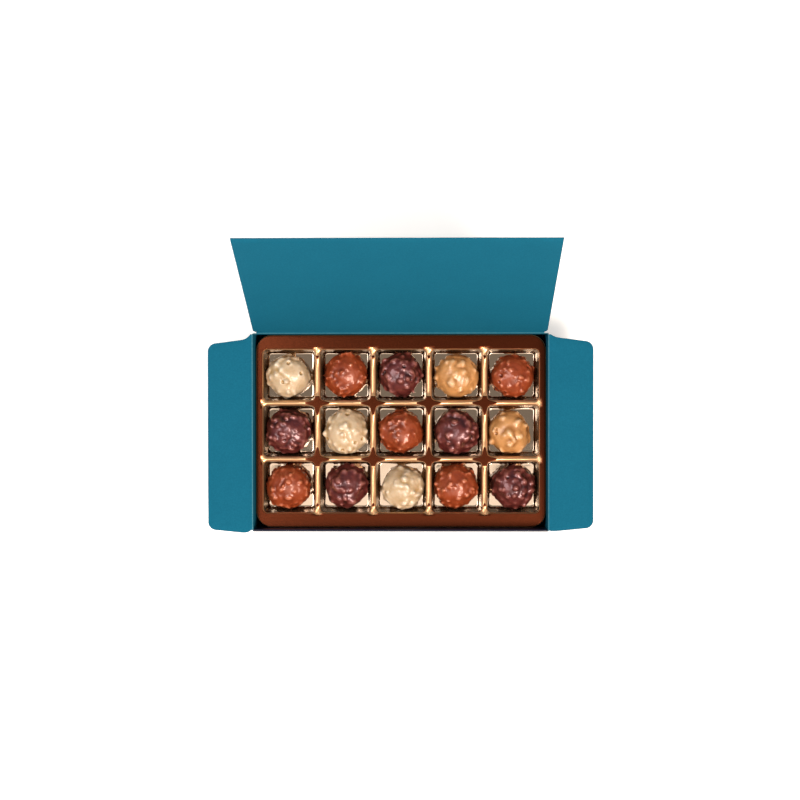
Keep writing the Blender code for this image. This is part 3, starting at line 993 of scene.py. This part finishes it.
flat = node(tree, "GeometryNodeSetPosition", None, {"Geometry": lumpy, "Position": stood})
sized = node(tree, "GeometryNodeTransform", None, {"Geometry": flat, "Scale": (MM, MM, MM)})
smoothed = node(tree, "GeometryNodeSetShadeSmooth", None, {0: sized})
solid = node(tree, "GeometryNodeRealizeInstances", None, {0: smoothed})
painted = node(tree, "GeometryNodeSetMaterial", None,
               {"Geometry": solid, "Material": given["Chocolate"]})
node(tree, "NodeGroupOutput", None, {"Geometry": painted})
print("praline tree:", len(tree.nodes), "nodes")

# %% [markdown]
# Chocolate sets with the gloss of cocoa butter: a hard, slightly uneven shine over a body that lets
# light in only a little, more in white and caramel than in dark. Hollows between the nuts are
# painted darker, which is painted shade, and where a nut stands proud the colour is paler, partly
# for the thin coat over it and partly as a painted highlight. The stored attribute `proud` drives
# both. A fine bump, 0.4 mm across, is the crystal grain.

# %% Chocolates
def chocolate(name, hollow_shade, body, tip_coat_and_highlight, gleam, roughness, glow):
    """A coating whose colour runs with relief from painted shade in the hollows, through the body,
    to paler tips that are partly thin coat and partly painted highlight.
    """
    surface, tree, shader = new_surface(name)
    place = node(tree, "ShaderNodeTexCoord").outputs["Object"]
    level = node(tree, "ShaderNodeAttribute", {"attribute_name": "proud"}).outputs["Fac"]
    fleck = node(tree, "ShaderNodeTexNoise", None,
                 {"Vector": place, "Scale": 1 / (1.6 * MM), "Detail": 2.0})
    wander = node(tree, "ShaderNodeMath", {"operation": "MULTIPLY_ADD"},
                  {0: fleck.outputs["Fac"], 1: 0.016, 2: -0.008})
    level = node(tree, "ShaderNodeMath", {"operation": "ADD"}, {0: level, 1: wander.outputs[0]})
    # deep carries the painted shade of the hollows; tip carries the paler tips, partly thin coat
    # and partly painted highlight.
    deep = node(tree, "ShaderNodeMapRange", None,
                {0: level.outputs[0], 1: -0.030, 2: -0.004, 3: 0.0, 4: 1.0})
    tip = node(tree, "ShaderNodeMapRange", None,
               {0: level.outputs[0], 1: 0.004, 2: 0.030, 3: 0.0, 4: 1.0})
    first = node(tree, "ShaderNodeMix", {"data_type": "RGBA"},
                 {0: deep.outputs[0], 6: linear(hollow_shade), 7: linear(body)})
    second = node(tree, "ShaderNodeMix", {"data_type": "RGBA"},
                  {0: tip.outputs[0], 6: first.outputs[2], 7: linear(tip_coat_and_highlight)})
    crystal = node(tree, "ShaderNodeTexNoise", None,
                   {"Vector": place, "Scale": 1 / (0.4 * MM), "Detail": 2.0})
    bump = node(tree, "ShaderNodeBump", None,
                {"Height": crystal.outputs["Fac"], "Strength": 0.3, "Distance": 0.08 * MM})
    tree.links.new(second.outputs[2], shader.inputs["Base Color"])
    tree.links.new(bump.outputs[0], shader.inputs["Normal"])
    shader.inputs["Roughness"].default_value = roughness
    shader.inputs["Specular Tint"].default_value = linear(gleam)
    shader.inputs["Specular IOR Level"].default_value = 0.8
    shader.inputs["Coat Weight"].default_value = 0.3
    shader.inputs["Coat Roughness"].default_value = 0.22
    shader.inputs["Subsurface Weight"].default_value = glow
    shader.inputs["Subsurface Radius"].default_value = (1.0, 0.5, 0.25)
    shader.inputs["Subsurface Scale"].default_value = 1.2 * MM
    return surface


# For each kind: painted shade in the hollows, body, then paler tips that are partly thin coat and
# partly painted highlight.
CHOCOLATES = {
    "white": chocolate("white_chocolate", "#a07c4a", "#c2a888", "#d6c2a8", "#fff8f0", 0.34, 0.12),
    "milk": chocolate("milk_chocolate", "#601f09", "#8a3a1c", "#b46648", "#ffd4c4", 0.33, 0.03),
    "dark": chocolate("dark_chocolate", "#2a0c0a", "#582420", "#865048", "#ffd0d4", 0.31, 0.0),
    "caramel": chocolate("caramel_chocolate", "#8e5828", "#c08852", "#d4a87c", "#fff0e0", 0.36,
                         0.08),
}

# %% [markdown]
# How coarse the nuts are and how thick the coating flows differs by kind. Densities count nuts
# and burst bubbles per square millimetre, sizes are millimetres, and flow counts smoothing passes.

# %% Recipes
RECIPES = {
    "white": {"Nut Density": 0.05, "Nut Size": 2.0, "Nut Height": 0.4, "Flow": 14,
              "Pit Density": 0.003, "Unevenness": 0.26},
    "milk": {"Nut Density": 0.08, "Nut Size": 1.6, "Nut Height": 0.5, "Flow": 7,
             "Pit Density": 0.001, "Unevenness": 0.26},
    "dark": {"Nut Density": 0.07, "Nut Size": 2.0, "Nut Height": 0.8, "Flow": 9,
             "Pit Density": 0.002, "Unevenness": 0.32},
    "caramel": {"Nut Density": 0.035, "Nut Size": 2.3, "Nut Height": 0.4, "Flow": 14,
                "Pit Density": 0.001, "Unevenness": 0.32},
}
SLOTS = {kind: kind + "_chocolate" for kind in RECIPES}
KIND_OF = {
    part["node"]: kind
    for part in frame["record"]["subparts"]
    for kind, slot in SLOTS.items()
    if part["material_slot"] == slot
}
SOCKETS = {
    item.name: item.identifier
    for item in PRALINE_TREE.interface.items_tree
    if item.in_out == "INPUT"
}


def dip_praline(name, kind, seed):
    """One praline as a plain mesh that fills the box of the node it stands for."""
    low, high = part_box(name)
    size = (high - low) / MM
    holder = bpy.data.objects.new("nut_" + name, bpy.data.meshes.new("seed_" + name))
    bpy.context.scene.collection.objects.link(holder)
    recipe = holder.modifiers.new("recipe", "NODES")
    recipe.node_group = PRALINE_TREE
    values = dict(RECIPES[kind], Size=size, Seed=seed, Chocolate=CHOCOLATES[kind])
    for key, value in values.items():
        recipe[SOCKETS[key]] = value
    bpy.context.view_layer.update()
    graph = bpy.context.evaluated_depsgraph_get()
    mesh = bpy.data.meshes.new_from_object(holder.evaluated_get(graph), depsgraph=graph)
    holder.modifiers.clear()
    holder.data = mesh
    return holder


print(sorted(KIND_OF.values()))

# %% [markdown]
# Volumes and smoothing change the size a little, so each praline is stretched back to its box and
# pressed clear of its cell's walls, exactly as it settles in the real tray.

# %% Fit the pralines in their cells
WALL_GAP = 0.15 * MM


def settle(praline, name):
    """Stretches the mesh to the node's box and keeps it off the walls of its cell."""
    low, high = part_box(name)
    row, column = (int(part) - 1 for part in name.split("_")[1:])
    opening = cell_opening(row, column)
    vertices = praline.data.vertices
    for axis in range(3):
        values = [v.co[axis] for v in vertices]
        least = min(values)
        scale = (high[axis] - low[axis]) / (max(values) - least)
        for vertex in vertices:
            vertex.co[axis] = low[axis] + (vertex.co[axis] - least) * scale
    for vertex in vertices:
        inset = DRAFT * max(0.0, RIM_Z - vertex.co.z) / CELL_DEPTH + WALL_GAP
        for axis in (0, 1):
            lowest, highest = opening[0][axis] + inset, opening[1][axis] - inset
            vertex.co[axis] = min(max(vertex.co[axis], lowest), highest)
    praline.data.update()


total = 0
for number, (name, kind) in enumerate(sorted(KIND_OF.items())):
    praline = dip_praline(name, kind, 11 + number)
    settle(praline, name)
    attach(praline, "carton")
    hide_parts(name)
    total += len(praline.data.polygons)
print("pralines:", len(KIND_OF), "with", total, "faces in all")

# %% [markdown]
# ## Floor and light
# The box lies on a plain pale sweep, which is lit from below as on a light table, so that the
# shadows stay faint.

# %% Floor
paper, tree, shader = new_surface("white_paper_sweep")
shader.inputs["Base Color"].default_value = linear("#f4f3f1")
shader.inputs["Roughness"].default_value = 0.9
shader.inputs["Emission Color"].default_value = linear("#fffdfa")
shader.inputs["Emission Strength"].default_value = 0.5
bm = bmesh.new()
bmesh.ops.create_grid(bm, x_segments=1, y_segments=1, size=3.0)
floor = finish_piece(bm, "floor", [paper], smooth=False)

# %% [markdown]
# The light is a large softbox above and in front, whose back edge decides what the floors of the
# cells mirror: the front row sees it and shines, the rows behind see the dark above the camera.
# A smaller key light gives the coatings their highlights, and two side fills draw bright lines
# along the saddles.

# %% Light
def soft_light(name, place, target, size, watts, tint="#ffffff"):
    """A rectangular softbox that faces a target."""
    light = bpy.data.lights.new(name, "AREA")
    light.shape = "RECTANGLE"
    light.size, light.size_y = size
    light.energy = watts
    light.color = linear(tint)[:3]
    lamp = bpy.data.objects.new(name, light)
    lamp.location = place
    lamp.rotation_euler = (Vector(target) - Vector(place)).to_track_quat("-Z", "Y").to_euler()
    bpy.context.scene.collection.objects.link(lamp)


scene = bpy.context.scene
scene.view_settings.view_transform = "Standard"
scene.view_settings.look = "None"
world = bpy.data.worlds.new("studio")
world.use_nodes = True
scene.world = world
background = world.node_tree.nodes["Background"]
background.inputs["Color"].default_value = linear("#f2e9de")
background.inputs["Strength"].default_value = 0.25

soft_light("overhead_softbox", (0.05, -1.03, 2.0), (0.05, -1.03, 0.0), (2.7, 1.8), 15.0, "#fff6ee")
soft_light("key", (0.60, -0.70, 1.50), (0.0, 0.0, 0.0), (0.65, 0.65), 34.0, "#fff2e6")
soft_light("left_fill", (-0.6, 0.1, 1.0), (-0.1, 0.0, 0.0), (0.6, 0.8), 8.0)
soft_light("right_fill", (1.1, 0.2, 1.4), (0.0, 0.0, 0.0), (0.9, 1.2), 2.0)
